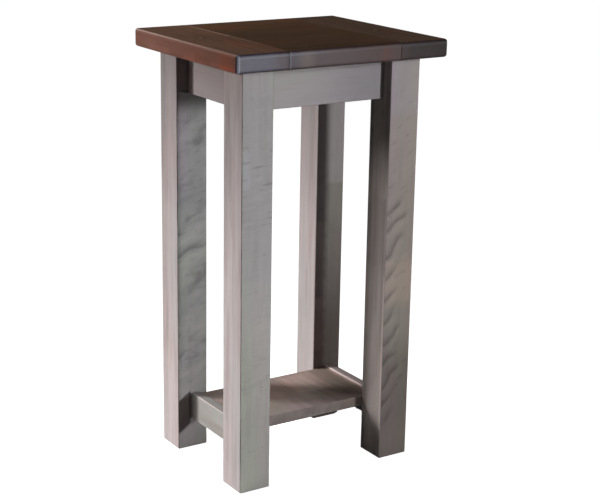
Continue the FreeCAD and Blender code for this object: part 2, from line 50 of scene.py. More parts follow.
FRONT, BACK, LEFT, RIGHT, UP = (0, -1, 0), (0, 1, 0), (-1, 0, 0), (1, 0, 0), (0, 0, 1)
GRAIN_TURN = {"z": (0, 0, 0), "x": (0, 90, 0), "y": (90, 0, 0)}

# Marks on the top's narrow edges, where each begins, is full, starts to fade and ends: a painted
# highlight under the upper edge, a painted shade line along the lower edge, a painted highlight on
# the left corner, and the left seam.
RIM_HIGHLIGHT = (0.8095, 0.8115, 0.8125, 0.8145)
FOOT_SHADE = (0.7895, 0.7870)
CORNER_HIGHLIGHT = (-0.2214, -0.2206, -0.2175, -0.2150)
LEFT_SEAM = (-0.1200, -0.1192, -0.1168, -0.1160)
OUTER_EDGE = (0.205, 0.212)

# The detailed screws. Their head is a dome, and the driver's cross sinks into its middle.
SCREW_SIDES = 48
SCREW_EASE = 0.99  # share of the plain screw's radius
HEAD_STEPS = 12
HEAD_RISE = 0.0026
DOME_SHARE = 0.9  # of the head's rise
CROSS_SHARE = 0.6  # of the head's radius
CROSS_HALF_WIDTH = 0.0006
CROSS_TOP, CROSS_FLOOR, CROSS_HEART = 0.0024, 0.0018, 0.0019  # above the head's lowest point
PLAIN_SHARE = 0.3  # of the whole length, before the thread starts
THREAD_PITCH = 0.0016
THREAD_CREST, THREAD_ROOT = 0.99, 0.72  # shares of the shank's radius
TIP_TURNS = 3


class Shader:
    """A material's node tree, with short calls for the nodes that wood needs."""

    def __init__(self, name):
        self.material = bpy.data.materials.new(name)
        self.material.use_nodes = True
        self.tree = self.material.node_tree
        self.tree.nodes.clear()
        self.output = self.tree.nodes.new("ShaderNodeOutputMaterial")
        self.surface = self.tree.nodes.new("ShaderNodeBsdfPrincipled")
        self.link(self.surface.outputs[0], self.output.inputs[0])

    def link(self, source, target):
        self.tree.links.new(source, target)

    def feed(self, socket, value):
        if isinstance(value, bpy.types.NodeSocket):
            self.link(value, socket)
        else:
            socket.default_value = value

    def node(self, kind, **settings):
        made = self.tree.nodes.new(kind)
        for key, value in settings.items():
            setattr(made, key, value)
        return made

    def place(self, turn=(0, 0, 0), scale=(1, 1, 1), shift=(0, 0, 0), source=None):
        """Object coordinates, or another vector, turned, scaled and shifted."""
        if source is None:
            source = self.node("ShaderNodeTexCoord").outputs["Object"]
        made = self.node("ShaderNodeMapping")
        self.feed(made.inputs["Vector"], source)
        made.inputs["Location"].default_value = shift
        made.inputs["Rotation"].default_value = [math.radians(angle) for angle in turn]
        made.inputs["Scale"].default_value = scale
        return made.outputs[0]

    def axis(self, vector, name):
        made = self.node("ShaderNodeSeparateXYZ")
        self.feed(made.inputs[0], vector)
        return made.outputs["XYZ".index(name.upper())]

    def here(self, name):
        """The place on one axis of the table, in metres."""
        return self.axis(self.place(), name)

    def length(self, vector):
        made = self.node("ShaderNodeVectorMath", operation="LENGTH")
        self.feed(made.inputs[0], vector)
        return made.outputs["Value"]

    def noise(self, source, scale, detail=2, rough=0.5, shift=(0, 0, 0), distort=0.0):
        """Noise on a vector that is scaled and shifted first."""
        made = self.node("ShaderNodeTexNoise")
        self.feed(made.inputs["Vector"], self.place(source=source, scale=scale, shift=shift))
        made.inputs["Scale"].default_value = 1.0
        made.inputs["Detail"].default_value = detail
        made.inputs["Roughness"].default_value = rough
        made.inputs["Distortion"].default_value = distort
        return made.outputs["Fac"]

    def math(self, kind, first, second=0.0, third=0.0, clamp=False):
        made = self.node("ShaderNodeMath", operation=kind, use_clamp=clamp)
        for socket, value in zip(made.inputs, (first, second, third)):
            self.feed(socket, value)
        return made.outputs[0]

    def times(self, first, *others):
        for other in others:
            first = self.math("MULTIPLY", first, other)
        return first

    def total(self, *parts):
        """The sum of values that are each given with a weight."""
        (value, weight), *others = parts
        found = self.math("MULTIPLY", value, weight)
        for value, weight in others:
            found = self.math("MULTIPLY_ADD", value, weight, found)
        return found

    def cycle(self, value, spacing):
        """The value's place between 0 and 1 in a row of equal steps."""
        return self.math("FRACT", self.math("DIVIDE", value, spacing))

    def ramp(self, value, low, high, start=0.0, end=1.0):
        """Maps low..high to start..end with soft ends."""
        made = self.node("ShaderNodeMapRange", interpolation_type="SMOOTHSTEP")
        self.feed(made.inputs["Value"], value)
        made.inputs["From Min"].default_value = low
        made.inputs["From Max"].default_value = high
        made.inputs["To Min"].default_value = start
        made.inputs["To Max"].default_value = end
        return made.outputs[0]

    def band(self, value, start, full, fading, end):
        """Rises from 0 at start to 1 at full, and falls again from fading to end."""
        return self.times(self.ramp(value, start, full), self.ramp(value, end, fading))

    def mix(self, share, first, second, kind="MIX"):
        made = self.node("ShaderNodeMix", data_type="RGBA", blend_type=kind)
        self.feed(made.inputs[0], share)
        self.feed(made.inputs[6], first)
        self.feed(made.inputs[7], second)
        return made.outputs[2]

    def tinted(self, colour, tint):
        """The colour multiplied by a tint, which leaves it alone at (1, 1, 1)."""
        return self.mix(1.0, colour, (*tint, 1), "MULTIPLY")

    def stain(self, share, colour, tint):
        return self.mix(share, colour, self.tinted(colour, tint))

    def cover(self, colour, rough, height, depth, strength):
        """Gives the surface its colour, roughness and relief."""
        made = self.node("ShaderNodeBump")
        made.inputs["Distance"].default_value = depth
        made.inputs["Strength"].default_value = strength
        self.feed(made.inputs["Height"], height)
        self.feed(self.surface.inputs["Base Color"], colour)
        self.feed(self.surface.inputs["Roughness"], rough)
        self.feed(self.surface.inputs["Normal"], made.outputs[0])

    def settle(self, **settings):
        """Sets constants on the shader's own sockets, whose names have _ for each space here."""
        for name, value in settings.items():
            self.surface.inputs[name.replace("_", " ")].default_value = value


def rgb(red, green, blue):
    """A colour as seen on screen, in 0..255, turned into the linear one that a shader takes."""
    linear = []
    for part in (red, green, blue):
        share = part / 255
        linear.append(share / 12.92 if share <= 0.04045 else ((share + 0.055) / 1.055) ** 2.4)
    return (*linear, 1)


def lay_grain(shader, grain, seed):
    """A vector whose z runs along the grain, with each board cut from its own log."""
    chance = random.Random(seed)
    local = shader.place(turn=GRAIN_TURN[grain])
    return shader.place(source=local, shift=[chance.uniform(-4, 4) for _ in range(3)])


def growth_rings(shader, along, seed, spacing):
    """Late wood of a board sawn beside its log's heart: arches on one face, lines on the next."""
    chance = random.Random(seed + 100)
    bent = shader.noise(along, (9, 9, 1.3))
    for _ in range(3):  # the heart comes from the draws after these three
        chance.uniform(-4, 4)
    heart = (chance.choice((-1, 1)) * chance.uniform(0.03, 0.07), chance.uniform(-0.04, 0.04), 0)
    off_heart = shader.length(shader.place(source=along, scale=(1, 1, 0), shift=heart))
    radius = shader.math("MULTIPLY_ADD", bent, spacing * 9, off_heart)
    return shader.band(shader.cycle(radius, spacing), 0.3, 0.9, 0.93, 1.0)


def facing(shader, direction, low=0.5, high=0.9):
    """1 where the surface faces the direction, 0 where it faces elsewhere."""
    made = shader.node("ShaderNodeVectorMath", operation="DOT_PRODUCT")
    shader.feed(made.inputs[0], shader.node("ShaderNodeNewGeometry").outputs["True Normal"])
    made.inputs[1].default_value = direction
    return shader.ramp(made.outputs["Value"], low, high)


def roundings(shader):
    """1 on rounded and bevelled edges, whose normals lean between two axes, 0 on flat faces."""
    normal = shader.node("ShaderNodeNewGeometry").outputs["Normal"]
    x, y, z = (shader.math("ABSOLUTE", shader.axis(normal, name)) for name in "xyz")
    lean = shader.math("MULTIPLY_ADD", y, z, shader.times(z, x))
    lean = shader.math("ADD", shader.times(x, y), lean)
    return shader.ramp(lean, 0.12, 0.38)


def stretch_of(shader, axis, low, high, fade=0.04):
    """1 between two places on an axis of the table, with soft ends."""
    return shader.band(shader.here(axis), low - fade, low, high, high + fade)


def feathers(shader, seed, slant, spacing, low, high, reach, cover, bent):
    """Curly figure on the front: bands that rise to the right, dark below and light above each."""
    chance = random.Random(seed)
    local = shader.place(turn=(0, slant, 0), shift=[chance.uniform(-1, 1) for _ in range(3)])
    bend = shader.noise(local, (11, 4, 13))
    level = shader.math("MULTIPLY_ADD", bend, spacing * bent, shader.axis(local, "z"))
    cycle = shader.cycle(level, spacing)
    dark = shader.band(cycle, 0.0, 0.16, 0.16, 0.5)
    light = shader.band(cycle, 0.45, 0.75, 0.75, 1.0)
    gaps = shader.noise(local, (0.7 / reach, 5, 0.7 / spacing), detail=1, shift=(3, 8, 1))
    patch = shader.ramp(gaps, 0.62 - cover * 0.3, 0.76 - cover * 0.2)
    inside = shader.times(stretch_of(shader, "z", low, high), patch)
    return shader.times(dark, inside), shader.times(light, inside)


def flecks(shader, seed, start, width, rise, spacing, low, high):
    """Curl that starts at the left edge of a front face and rises to the right in strokes."""
    chance = random.Random(seed)
    place = shader.place()
    across = shader.math("MULTIPLY_ADD", shader.axis(place, "x"), 1 / width, -start / width)
    shift = [chance.uniform(-3, 3) for _ in range(3)]
    bend = shader.noise(place, (15, 0, 17), detail=1, shift=shift)
    bow = shader.math("POWER", shader.math("MAXIMUM", across, 0.001), 1.1)
    level = shader.math("ADD", shader.axis(place, "z"), shader.times(bow, -rise))
    level = shader.math("MULTIPLY_ADD", bend, spacing * 1.3, level)
    cycle = shader.cycle(level, spacing)
    dark = shader.band(cycle, 0.0, 0.10, 0.10, 0.50)
    light = shader.band(cycle, 0.45, 0.8, 0.85, 1.0)
    tip = shader.noise(place, (3, 0, 0.6 / spacing), detail=0, shift=shift[::-1])
    past = shader.math("MULTIPLY_ADD", shader.ramp(tip, 0.3, 0.7), -0.8, across)
    inside = stretch_of(shader, "z", low, high, 0.03)
    inside = shader.times(inside, shader.ramp(past, 0.55, 0.15))
    return shader.times(dark, inside), shader.times(light, inside)


def dashes(shader, seed, slant, low, high, length, height, cover=0.5):
    """Short irregular marks across the grain, some dark and some light."""
    chance = random.Random(seed)
    local = shader.place(turn=(0, slant, 0), shift=[chance.uniform(-1, 1) for _ in range(3)])
    spots = shader.noise(local, (1 / length, 4, 1 / height), detail=1)
    inside = stretch_of(shader, "z", low, high, 0.02)
    dark = shader.ramp(spots, 0.70 - cover * 0.2, 0.84 - cover * 0.2)
    light = shader.ramp(spots, 0.30 + cover * 0.2, 0.16 + cover * 0.2)
    return shader.times(dark, inside), shader.times(light, inside)


def shade(shader, colour, axis, start, end, share, tint, faces=None):
    """Colour that drifts towards a tint along an axis, on all faces or on one side only."""
    fade = shader.ramp(shader.here(axis), start, end, 0.0, share)
    if faces:
        fade = shader.times(fade, facing(shader, faces))
    return shader.stain(fade, colour, tint)


def blotch(shader, colour, spans, fade, share, tint, faces, lean=0.0):
    """Darkened or lightened place, a soft-edged box given by spans such as ("x", low, high). Many
    of them are painted light and shade.
    """
    inside = facing(shader, faces)
    ragged = shader.noise(shader.place(), (60, 60, 60))
    for axis, low, high in spans:
        place = shader.here(axis)
        if axis == "z" and lean:
            place = shader.math("MULTIPLY_ADD", shader.here("x"), -lean, place)
        place = shader.math("MULTIPLY_ADD", ragged, fade, place)
        inside = shader.times(inside, shader.band(place, low, low + fade, high, high + fade))
    return shader.stain(shader.times(inside, share), colour, tint)


def tinge(shader, colour, along, sides, rose):
    """The wash drifts between greenish and lilac on the front and is pinkish on the sides."""
    hue = shader.noise(along, (20, 20, 2.5), detail=3, shift=(3, 5, 7))
    green = shader.tinted(colour, (0.965, 1.0, 0.955))
    lilac = shader.tinted(colour, (1.0, 0.955, 0.985))
    flat = shader.mix(shader.ramp(hue, 0.40, 0.60), green, lilac)
    plain = shader.tinted(colour, (1.0, 0.985, 0.975))
    pink = shader.tinted(colour, (1.05, 0.965, 0.955))
    rosy = shader.mix(shader.ramp(hue, 0.36, 0.60, 0.0, rose), plain, pink)
    return shader.mix(sides, flat, rosy)


def wipe(shader, colour, along, sides, smears):
    """Long brownish smears where the wash was wiped off along the grain, most on the sides."""
    narrow = shader.noise(along, (60, 60, 5), shift=(6, 1, 2))
    narrow = shader.ramp(narrow, 0.50, 0.66, 0, smears)
    narrow = shader.times(narrow, shader.math("MULTIPLY_ADD", sides, 0.65, 0.35))
    colour = shader.stain(narrow, colour, (0.78, 0.71, 0.69))
    wide = shader.noise(along, (42, 42, 4.5), detail=3, shift=(2, 7, 5))
    wide = shader.ramp(wide, 0.52, 0.62, 0, smears)
    wide = shader.times(wide, shader.times(sides, 0.8))
    return shader.stain(wide, colour, (0.84, 0.76, 0.74))


def add_curl(shader, colour, along, fronts, bands, curl):
    """Curl crosses the grain at a slant on the front and back and shows in patches."""
    patch = shader.ramp(shader.noise(along, (7, 7, 5), detail=1, shift=(9, 2, 4)), 0.34, 0.54)
    patch = shader.times(patch, shader.math("MAXIMUM", fronts, 0.2))
    deep = shader.times(shader.ramp(bands, 0.50, 0.66), patch, curl)
    glow = shader.times(shader.ramp(bands, 0.48, 0.32), patch, curl * 0.7)
    colour = shader.stain(deep, colour, (0.60, 0.61, 0.63))
    return shader.stain(glow, colour, (1.25, 1.25, 1.25))


def washed_wood(name, grain, seed, light, dark, side=None, curl=0.3, slant=20, streak=1.0,
                smears=0.45, rose=1.0, marks=(), shades=(), tint=None,
                arris=((122, 104, 106), 0.6), blotches=()):
    """Close-grained hardwood under a grey wash.

    light and dark are the tones of its grain, and side holds those of the left and right faces.
    curl, streak, smears and rose say how strongly each shows, and slant is the curl's angle.
    marks, shades and blotches are the places of one board alone, and several shades and blotches
    are painted light and shade. tint lies under the rounded edges and the blotches. arris is the
    colour of those edges and how far it covers them; where it is pale it is a painted highlight.
    """
    shader = Shader(name)
    along = lay_grain(shader, grain, seed)
    sides = shader.math("ADD", facing(shader, LEFT), facing(shader, RIGHT), clamp=True)
    fronts = shader.math("ADD", facing(shader, FRONT), facing(shader, BACK), clamp=True)

    fine = shader.noise(along, (80, 80, 2.2), detail=4, rough=0.6)
    broad = shader.noise(along, (24, 24, 0.9))
    tone = shader.total((shader.ramp(fine, 0.34, 0.68), 0.24),
                        (shader.ramp(broad, 0.34, 0.66), 0.45),
                        (growth_rings(shader, along, seed, 0.014), 0.10))
    soft = shader.math("MULTIPLY_ADD", shader.math("SUBTRACT", tone, 0.45), streak, 0.45)
    colour = shader.mix(soft, light, dark)
    if side:
        colour = shader.mix(sides, colour, shader.mix(tone, *side))
    colour = tinge(shader, colour, along, sides, rose)
    colour = wipe(shader, colour, along, sides, smears)
    cloud = shader.noise(along, (7, 7, 7), detail=3)
    colour = shader.stain(shader.ramp(cloud, 0.4, 0.7, 0, 0.3), colour, (0.84, 0.84, 0.85))
    pores = shader.ramp(shader.noise(along, (420, 420, 14), detail=1), 0.62, 0.73)
    colour = shader.mix(shader.times(pores, 0.10), colour, rgb(92, 86, 82))

    turned = shader.place(turn=(0, slant, 0), shift=(seed, 0, seed * 0.7))
    bands = shader.noise(turned, (17, 9, 52), detail=3, distort=0.6)
    colour = add_curl(shader, colour, along, fronts, bands, curl)
    for index, (make, strength, settings) in enumerate(marks):
        low, high = make(shader, seed=seed * 7 + index, **settings)
        colour = shader.stain(shader.times(low, fronts, strength), colour, (0.42, 0.40, 0.40))
        high = shader.times(high, fronts, strength * 0.7)
        colour = shader.stain(high, colour, (1.28, 1.27, 1.25))
    for settings in shades:
        colour = shade(shader, colour, *settings)
    if tint:
        colour = shader.tinted(colour, tint)
    # the rounded edges take the arris colour; a pale one is a painted highlight
    edge_mark, share = arris
    broken = shader.ramp(shader.noise(along, (30, 30, 12), detail=3), 0.3, 0.6, 0.4, 1.0)
    edge = shader.times(roundings(shader), broken)
    colour = shader.mix(shader.times(edge, share), colour, rgb(*edge_mark))
    for settings in blotches:
        colour = blotch(shader, colour, *settings)

    height = shader.total((pores, -0.8), (fine, 0.7), (bands, 0.5 * curl))
    shader.cover(colour, shader.math("MULTIPLY_ADD", fine, 0.2, 0.46), height, 0.0003, 0.35)
    shader.settle(Specular_IOR_Level=0.35)
    return shader.material


def front_tones_and_sheen(shader, colour, tone, cloud, ends):
    """The front edge's tones, which change along the table. The grey-blue ones at the left end are
    a painted reflection, and painted highlight and shade lines lie along its edges.
    """
    across, height = shader.here("x"), shader.here("z")
    # the tones along the front edge; the grey-blue ones at the left end are a painted reflection
    (start, tint), *others = ends
    for end, following in others:
        tint = shader.mix(shader.ramp(across, start, end), tint, following)
        start = end
    front = facing(shader, FRONT, 0.3, 0.6)
    spotty = shader.ramp(cloud, 0.3, 0.7, 0.95, 0.78)
    spotty = shader.math("MAXIMUM", spotty, shader.band(across, *LEFT_SEAM))
    tint = shader.stain(shader.times(tone, 0.5), tint, (0.72, 0.70, 0.70))
    colour = shader.mix(shader.times(front, spotty), colour, tint)
    # a painted highlight line under the upper edge, a painted shade line along the lower edge, and
    # a painted highlight on the left corner
    fading = shader.ramp(across, 0.02, -0.12, 0.12, 0.5)
    rim_highlight = shader.times(shader.band(height, *RIM_HIGHLIGHT), front, fading)
    colour = shader.mix(rim_highlight, colour, rgb(150, 150, 168))
    foot_shade = shader.times(shader.ramp(height, *FOOT_SHADE), front, 0.8)
    colour = shader.mix(foot_shade, colour, rgb(50, 44, 50))
    corner_highlight = shader.times(shader.band(across, *CORNER_HIGHLIGHT), front, 0.8)
    return shader.mix(corner_highlight, colour, rgb(190, 190, 206))


def knot_spot(shader, colour, x, y, size):
    """A small pale knot with a dark ring round it, on the upper face."""
    local = shader.place(scale=(1, 1, 0), shift=(-x, -y, 0))
    wobble = shader.times(shader.noise(local, (160, 160, 160)), 1.2 * size)
    length = shader.length(shader.place(source=local, scale=(1, 0.7, 1)))
    radius = shader.math("ADD", wobble, length)
    ring = shader.ramp(radius, 3.2 * size, 1.6 * size, 0.0, 0.4)
    colour = shader.mix(ring, colour, rgb(52, 34, 26))
    heart = shader.ramp(radius, 1.5 * size, 0.9 * size, 0.0, 0.9)
    return shader.mix(heart, colour, rgb(238, 198, 172))


def shade_and_light_edges(shader, colour, fine):
    """The front upper edge and the standing corners are darkened, and a painted highlight lies
    along the upper side edges, brightest towards the back.
    """
    right, ahead, up = (facing(shader, way, 0.38, 0.6) for way in (RIGHT, FRONT, UP))
    outer = shader.ramp(shader.math("ABSOLUTE", shader.here("x")), *OUTER_EDGE)
    standing = shader.times(facing(shader, FRONT, 0.25, 0.45), facing(shader, LEFT, 0.66, 0.80))
    dim = shader.math("MAXIMUM", shader.times(ahead, up), shader.times(standing, outer))
    colour = shader.mix(shader.times(dim, 0.75), colour, rgb(52, 36, 38))
    # painted highlight along the upper left edge, weaker along the right one
    edge_mark = shader.math("MAXIMUM", facing(shader, LEFT, 0.46, 0.64), shader.times(right, 0.25))
    edge_mark = shader.times(facing(shader, UP, 0.46, 0.64), edge_mark)
    drift = shader.ramp(shader.here("y"), -0.19, 0.05, 0.6, 1.0)
    edge_mark = shader.times(edge_mark, drift, shader.ramp(fine, 0.3, 0.55, 0.6, 1.0), outer)
    return shader.mix(edge_mark, colour, rgb(255, 224, 210))


def seam_line(shader, colour, fine, place, width, pale, share, start, end):
    """The joint between boards on the upper face: a narrow dark slot, with a painted highlight line
    along it.
    """
    gap = shader.math("ABSOLUTE", shader.math("SUBTRACT", shader.here("x"), place))
    upper = facing(shader, UP, 0.4, 0.7)
    slot = shader.times(shader.ramp(gap, 0.0014, 0.0008), upper, 0.7)
    colour = shader.mix(slot, colour, rgb(70, 50, 42))
    # painted highlight where the joint's bevel catches the light
    line = shader.times(shader.ramp(gap, width, width * 0.5), upper)
    line = shader.times(line, shader.ramp(shader.here("y"), start, end))
    line = shader.times(line, shader.ramp(fine, 0.35, 0.6, 0.3, share))
    return shader.mix(line, colour, pale)


def stained_wood(name, grain, seed, light, dark, top, ends, seams, knot=None, patches=(),
                 shades=(), blotches=()):
    """Dark stained board under a satin varnish.

    light and dark are the tones of its edges, top holds those of the upper face, and ends the
    places and colours along the front edge, whose grey-blue ones at the left are a painted
    reflection. patches lie on the table's left edge.
    """
    shader = Shader(name)
    along = lay_grain(shader, grain, seed)
    fine = shader.noise(along, (85, 85, 2.4), detail=5, rough=0.62)
    broad = shader.noise(along, (22, 22, 1.4))
    cloud = shader.noise(along, (11, 11, 6), detail=3)
    tone = shader.total((shader.ramp(fine, 0.32, 0.7), 0.24),
                        (shader.ramp(broad, 0.36, 0.64), 0.22),
                        (growth_rings(shader, along, seed, 0.012), 0.10),
                        (shader.ramp(cloud, 0.36, 0.64), 0.44))
    tone = shader.math("MINIMUM", tone, 1.0)
    colour = shader.mix(tone, light, dark)
    colour = shader.mix(facing(shader, UP, 0.35, 0.8), colour, shader.mix(tone, *top))
    red = shader.noise(along, (13, 13, 7), shift=(5, 1, 8))
    colour = shader.stain(shader.ramp(red, 0.50, 0.70, 0, 0.6), colour, (1.4, 0.95, 0.82))
    for centre, reach, tint, share in patches:
        near = shader.math("ABSOLUTE", shader.math("SUBTRACT", shader.here("y"), centre))
        spot = shader.times(shader.ramp(near, reach, 0.0, 0.0, share), facing(shader, LEFT))
        spot = shader.times(spot, shader.ramp(red, 0.35, 0.6, 0.4, 1.0))
        colour = shader.mix(spot, colour, tint)
    for settings in blotches:
        colour = blotch(shader, colour, *settings)
    pores = shader.ramp(shader.noise(along, (380, 380, 12), detail=1), 0.60, 0.72)
    shown = shader.math("MULTIPLY_ADD", facing(shader, UP), 0.33, 0.12)
    colour = shader.mix(shader.times(pores, shown), colour, rgb(26, 17, 12))

    colour = front_tones_and_sheen(shader, colour, tone, cloud, ends)
    if knot:
        colour = knot_spot(shader, colour, *knot)
    for settings in shades:
        colour = shade(shader, colour, *settings)
    colour = shade_and_light_edges(shader, colour, fine)
    for settings in seams:
        colour = seam_line(shader, colour, fine, *settings)

    rough = shader.math("MULTIPLY_ADD", cloud, 0.18, 0.30)
    rough = shader.math("MULTIPLY_ADD", pores, 0.15, rough)
    shader.cover(colour, rough, shader.total((pores, -0.6), (fine, 0.45)), 0.0002, 0.4)
    shader.settle(Specular_IOR_Level=0.4, Coat_Weight=0.15, Coat_Roughness=0.3)
    return shader.material


def bare_wood(name, grain, seed, light, dark):
    """Unfinished hardwood of the parts that nobody sees."""
    shader = Shader(name)
    along = lay_grain(shader, grain, seed)
    fine = shader.noise(along, (160, 160, 5), detail=4, rough=0.6)
    tone = shader.total((shader.ramp(fine, 0.3, 0.7), 0.6),
                        (growth_rings(shader, along, seed, 0.005), 0.4))
    colour = shader.mix(tone, light, dark)
    pores = shader.ramp(shader.noise(along, (600, 600, 20), detail=1), 0.6, 0.7)
    colour = shader.mix(shader.times(pores, 0.4), colour, rgb(110, 78, 50))
    grime = shader.ramp(shader.noise(along, (14, 14, 14), detail=3), 0.45, 0.75, 0, 0.3)
    colour = shader.mix(grime, colour, rgb(104, 84, 66))
    height = shader.math("MULTIPLY_ADD", pores, -0.7, fine)
    shader.cover(colour, shader.math("MULTIPLY_ADD", fine, 0.2, 0.6), height, 0.0002, 0.6)
    return shader.material


def plated_steel(name):
    """Zinc-plated screw steel, dulled and a little stained."""
    shader = Shader(name)
    stain = shader.noise(shader.place(), (500, 500, 500), detail=4, rough=0.6)
    colour = shader.mix(shader.ramp(stain, 0.4, 0.65), rgb(196, 194, 186), rgb(140, 130, 112))
    shader.cover(colour, shader.ramp(stain, 0.3, 0.7, 0.28, 0.55), stain, 0.00004, 0.5)
    shader.settle(Metallic=1.0)
    return shader.material


def wear(node, material):
    NODES[node].data.materials.clear()
    NODES[node].data.materials.append(material)


def islands(mesh):
    """The separate solids in a mesh, in the mesh's own order, each as the list of its points."""
    work = bmesh.new()
    work.from_mesh(mesh)
    seen = set()
    found = []
    for start in work.verts:
        if start in seen:
            continue
        seen.add(start)
        todo, group = [start], []
        while todo:
            vert = todo.pop()
            group.append(vert.co.copy())
            for edge in vert.link_edges:
                other = edge.other_vert(vert)
                if other not in seen:
                    seen.add(other)
                    todo.append(other)
        found.append(group)
    work.free()
    return found


def screw_rings(bottom, top, head, shank):
    """Radius and height of each ring of a round-headed screw that points up, head first."""
    rings = []
    for step in range(1, HEAD_STEPS + 1):
        turn = math.pi / 2 * step / HEAD_STEPS
        rise = HEAD_RISE * (1 - math.cos(turn)) * DOME_SHARE
        rings.append((head * math.sin(turn), bottom + rise))
    neck = bottom + HEAD_RISE
    rings.append((head, neck))
    rings.append((shank, neck))
    height = neck + (top - bottom) * PLAIN_SHARE
    rings.append((shank, height))
    tip = top - TIP_TURNS * THREAD_PITCH
    while height + THREAD_PITCH < tip:
        rings.append((shank * THREAD_ROOT, height + THREAD_PITCH * 0.25))
        rings.append((shank * THREAD_CREST, height + THREAD_PITCH * 0.6))
        rings.append((shank * THREAD_ROOT, height + THREAD_PITCH * 0.95))
        height += THREAD_PITCH
    rings.append((shank * 0.6, tip))
    rings.append((shank * 0.04, top))
    return rings


def add_screw(work, group):
    """One detailed screw in the box of a plain one, whose points are in the group."""
    low = [min(point[axis] for point in group) for axis in range(3)]
    high = [max(point[axis] for point in group) for axis in range(3)]
    x, y = (low[0] + high[0]) / 2, (low[1] + high[1]) / 2
    head = (high[0] - low[0]) / 2 * SCREW_EASE
    loops = []
    for radius, height in screw_rings(low[2], high[2], head, head / 2 * SCREW_EASE):
        loop = []
        for side in range(SCREW_SIDES):
            turn = 2 * math.pi * side / SCREW_SIDES
            dx, dy = radius * math.cos(turn), radius * math.sin(turn)
            rise = height
            # the driver's cross sinks into the head
            cross = min(abs(dx), abs(dy)) < CROSS_HALF_WIDTH and radius < head * CROSS_SHARE
            if cross and height < low[2] + CROSS_TOP:
                rise = low[2] + CROSS_FLOOR
            loop.append(work.verts.new((x + dx, y + dy, rise)))
        loops.append(loop)
    centre = work.verts.new((x, y, low[2] + CROSS_HEART))
    for side in range(SCREW_SIDES):
        after = (side + 1) % SCREW_SIDES
        work.faces.new((centre, loops[0][after], loops[0][side]))
        for near, far in zip(loops, loops[1:]):
            work.faces.new((near[side], near[after], far[after], far[side]))
    work.faces.new(loops[-1])


def add_screws(name, node, material):
    work = bmesh.new()
    for group in islands(NODES[node].data):
        add_screw(work, group)
    bmesh.ops.recalc_face_normals(work, faces=work.faces)
    mesh = bpy.data.meshes.new(name)
    work.to_mesh(mesh)
    work.free()
    mesh.materials.append(material)
    piece = bpy.data.objects.new(name, mesh)
    bpy.context.scene.collection.objects.link(piece)
    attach(piece, "root")
    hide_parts(node)


def add_floor(name, reach, level, albedo, glow, seen):
    """A floor disc: one is what the camera sees, one only throws light back at the table."""
    work = bmesh.new()
    bmesh.ops.create_circle(work, cap_ends=True, segments=FLOOR_SIDES, radius=reach)
    mesh = bpy.data.meshes.new(name)
    work.to_mesh(mesh)
    work.free()
    floor = bpy.data.objects.new(name, mesh)
    floor.location.z = level
    bpy.context.scene.collection.objects.link(floor)
    shader = Shader(name + "_paint")
    spots = shader.ramp(shader.noise(shader.place(), (14, 14, 14), detail=3), 0.3, 0.7)
    pale, paler = albedo, albedo * 0.97
    paint = shader.mix(spots, (pale, pale, pale, 1), (paler, paler, paler, 1))
    shader.feed(shader.surface.inputs["Base Color"], paint)
    shader.settle(Roughness=0.8, Specular_IOR_Level=0.0, Emission_Color=(1, 1, 1, 1),
                  Emission_Strength=glow)
    mesh.materials.append(shader.material)
    floor.visible_camera = seen
    for ray in ("visible_diffuse", "visible_glossy", "visible_transmission", "visible_shadow"):
        setattr(floor, ray, not seen)


def aim(light, target):
    """Points a lamp or panel at a place, and adds it to the scene."""
    away = (light.location - Vector(target)).normalized()
    light.rotation_euler = away.to_track_quat("Z", "Y").to_euler()
    bpy.context.scene.collection.objects.link(light)


def add_lamp(name, turn, rise, reach, height, power, cone, radius, colour):
    """A soft lamp around the table: turn 0 is in front and 90 at the right, seen from the front."""
    data = bpy.data.lights.new(name, "SPOT")
    data.spot_size = math.radians(cone)
    data.spot_blend = 1.0
    data.shadow_soft_size = radius
    data.energy = power
    data.color = colour
    lamp = bpy.data.objects.new(name, data)
    turn, rise = math.radians(turn), math.radians(rise)
    flat = math.cos(rise) * reach
    level = math.sin(rise) * reach + LAMP_BASE
    lamp.location = (math.sin(turn) * flat, -math.cos(turn) * flat, level)
    aim(lamp, (0, 0, height))


def add_panel(name, place, target, power, size, glossy=True):
    """A weak square panel of light."""
    data = bpy.data.lights.new(name, "AREA")
    data.size = size
    data.energy = power
    panel = bpy.data.objects.new(name, data)
    panel.location = place
    panel.visible_glossy = glossy
    aim(panel, target)


def add_camera():
    data = bpy.data.cameras.new("camera")
    data.sensor_width = CAMERA_SENSOR
    data.lens = CAMERA_LENS
    data.clip_end = CAMERA_REACH
    camera = bpy.data.objects.new("camera", data)
    camera.location = CAMERA_PLACE
    camera.rotation_euler = [math.radians(angle) for angle in CAMERA_TURN]
    bpy.context.scene.collection.objects.link(camera)
    bpy.context.scene.camera = camera


def set_world(strength):
    world = bpy.data.worlds.new("studio")
    world.use_nodes = True
    background = world.node_tree.nodes["Background"]
    background.inputs[0].default_value = (1, 1, 1, 1)
    background.inputs[1].default_value = strength
    bpy.context.scene.world = world
    bpy.context.scene.view_settings.view_transform = "Standard"


PALE, GREY = rgb(209, 205, 204), rgb(176, 172, 171)
BRIGHT, MID = rgb(238, 237, 235), rgb(207, 206, 203)
ROSE, ROSE_DARK = rgb(216, 212, 211), rgb(184, 179, 178)

# Spans that take in the whole front of a left or a right leg, a leg's width, and the place of
# the right legs' left edge.
LEFT_LEGS, RIGHT_LEGS = ("x", -0.20, -0.11), ("x", 0.12, 0.20)
LEG_WIDTH, RIGHT_LEG_START = 0.0635, 0.1255

